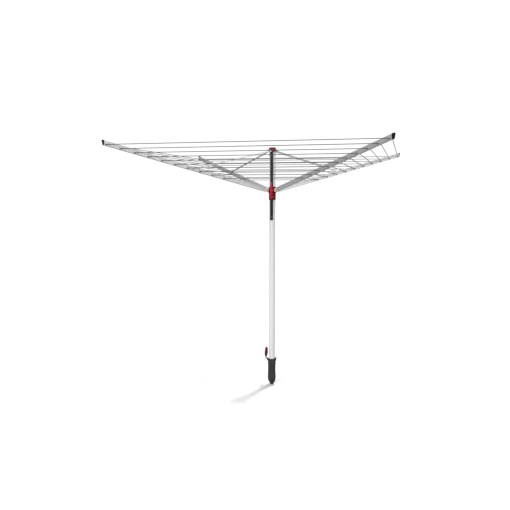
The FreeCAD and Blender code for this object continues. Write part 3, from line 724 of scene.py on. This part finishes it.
class CLOTHESLINE_OT_lines(bpy.types.Operator):
    """String the square rings of line between the arms"""
    bl_idname = "clothesline.lines"
    bl_label = "Lines"

    def execute(self, context):
        colours, sizes, _ = settings()
        colour = tuple(colours.line)
        sheaths = {True: line_sheath("line_sheath_x", colour, True),
                   False: line_sheath("line_sheath_y", colour, False)}
        for k in ARMS:
            bends = bmesh.new()
            for i in range(sizes.line_count):
                corner = self.corner(k, i, sizes)
                for along_x in (True, False):
                    self.leg(k, i, corner, along_x, sheaths[along_x], sizes)
                self.bend(bends, corner, sizes)
            piece = finish_mesh(bends, "arm_%d_line_bends" % k, sheaths[True], "arm_%d" % k)
            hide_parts("clothes_line_%d" % k)
        return {"FINISHED"}

    def corner(self, k, i, sizes):
        """Where the two straight legs of ring i would meet, in arm k."""
        low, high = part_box("clothes_line_%d" % k)
        _, axis, radial = arm_frame(k)
        reach = max(abs(low.x), abs(high.x)) - MODEL_LINE_RADIUS
        spacing = sizes.line_pitch * math.sqrt(0.5)
        level = high.z - MODEL_LINE_RADIUS - i * sizes.line_pitch * axis.z / axis.xy.length
        out = reach - i * spacing
        return Vector((math.copysign(out, radial.x), math.copysign(out, radial.y), level))

    def leg(self, k, i, corner, along_x, material, sizes):
        """One straight leg, from the bend at the arm to the middle of the ring's side."""
        inwards = Vector((-math.copysign(1, corner.x), 0, 0))
        if not along_x:
            inwards = Vector((0, -math.copysign(1, corner.y), 0))
        start = corner + inwards * sizes.line_bend
        length = abs(corner.x) - sizes.line_bend
        bm = bmesh.new()
        bmesh.ops.create_cone(bm, cap_ends=True, segments=ROUND_SIDES,
                              radius1=sizes.line_radius, radius2=sizes.line_radius,
                              depth=length)
        bmesh.ops.rotate(bm, verts=bm.verts, cent=(0, 0, 0),
                         matrix=UP.rotation_difference(inwards).to_matrix())
        bmesh.ops.translate(bm, verts=bm.verts, vec=start + inwards * length / 2)
        name = "line_%d_%s_arm_%d" % (i + 1, "x" if along_x else "y", k)
        piece = finish_mesh(bm, name, material, "arm_%d" % k)
        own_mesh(piece)

    def slack(self, k, start, run, along_x):
        """Direction across its arm in which a leg would close up as the arm folds, and the share of it that would
        keep its end at the next arm's leg."""
        pivot, axis, _ = arm_frame(k)
        joint = JOINTS["arm_%d_fold" % k]
        turn = Matrix.Rotation(self.folded_angle(k), 3, Vector(joint["axis"]))
        along = axis * run.dot(axis)
        across = run - along
        end = turn @ (start - pivot) + pivot + turn @ along
        spread = turn @ across
        keep = -end.x / spread.x if along_x else -end.y / spread.y
        return tuple(across.normalized()), keep

    def folded_angle(self, k):
        couplings = frame["record"]["behaviour"]["couplings"]
        ratio = [c["ratio"] for c in couplings if c["joint"] == "arm_%d_fold" % k][0]
        return ratio * JOINTS["runner_slide"]["range_m"][1]

    def bend(self, bm, corner, sizes):
        """The quarter turn of the line inside its guide, added to the arm's bends."""
        to_x = Vector((-math.copysign(1, corner.x), 0, 0))
        to_y = Vector((0, -math.copysign(1, corner.y), 0))
        centre = corner + (to_x + to_y) * sizes.line_bend
        turned = math.radians(90) * (1 if to_x.cross(to_y).z > 0 else -1)
        ring = bmesh.ops.create_circle(bm, cap_ends=True, segments=ROUND_SIDES,
                                       radius=sizes.line_radius)
        start = corner + to_x * sizes.line_bend
        bmesh.ops.rotate(bm, verts=ring["verts"], cent=(0, 0, 0),
                         matrix=UP.rotation_difference(to_x).to_matrix())
        bmesh.ops.translate(bm, verts=ring["verts"], vec=start)
        faces = list({face for vert in ring["verts"] for face in vert.link_faces})
        bmesh.ops.spin(bm, geom=ring["verts"] + faces, cent=centre, axis=(0, 0, 1),
                       angle=-turned, steps=BEND_STEPS, use_merge=False,
                       use_normal_flip=False)
        bmesh.ops.recalc_face_normals(bm, faces=bm.faces)


class CLOTHESLINE_PT_panel(bpy.types.Panel):
    bl_idname = "CLOTHESLINE_PT_panel"
    bl_label = "Rotary clothesline"
    bl_space_type = "VIEW_3D"
    bl_region_type = "UI"
    bl_category = "Clothesline"

    def draw(self, context):
        layout = self.layout
        for operator in PIECES:
            layout.operator(operator.bl_idname)
        for group in (context.scene.clothesline_colours, context.scene.clothesline_sizes,
                      context.scene.clothesline_stage):
            box = layout.box()
            for name in group.__annotations__:
                box.prop(group, name)


PIECES = (
    CLOTHESLINE_OT_stage,
    CLOTHESLINE_OT_ground_socket,
    CLOTHESLINE_OT_socket_lid,
    CLOTHESLINE_OT_mast,
    CLOTHESLINE_OT_top_hub,
    CLOTHESLINE_OT_runner,
    CLOTHESLINE_OT_lever,
    CLOTHESLINE_OT_arms,
    CLOTHESLINE_OT_struts,
    CLOTHESLINE_OT_lines,
)
CLASSES = (ClotheslineColours, ClotheslineSizes, ClotheslineStage, *PIECES,
           CLOTHESLINE_PT_panel)


def register():
    for cls in CLASSES:
        bpy.utils.register_class(cls)
    scene = bpy.types.Scene
    scene.clothesline_colours = PointerProperty(type=ClotheslineColours)
    scene.clothesline_sizes = PointerProperty(type=ClotheslineSizes)
    scene.clothesline_stage = PointerProperty(type=ClotheslineStage)


def unregister():
    del bpy.types.Scene.clothesline_stage
    del bpy.types.Scene.clothesline_sizes
    del bpy.types.Scene.clothesline_colours
    for cls in reversed(CLASSES):
        bpy.utils.unregister_class(cls)


def main():
    register()
    for operator in PIECES:
        group, name = operator.bl_idname.split(".")
        getattr(getattr(bpy.ops, group), name)()


if __name__ == "__main__":
    main()
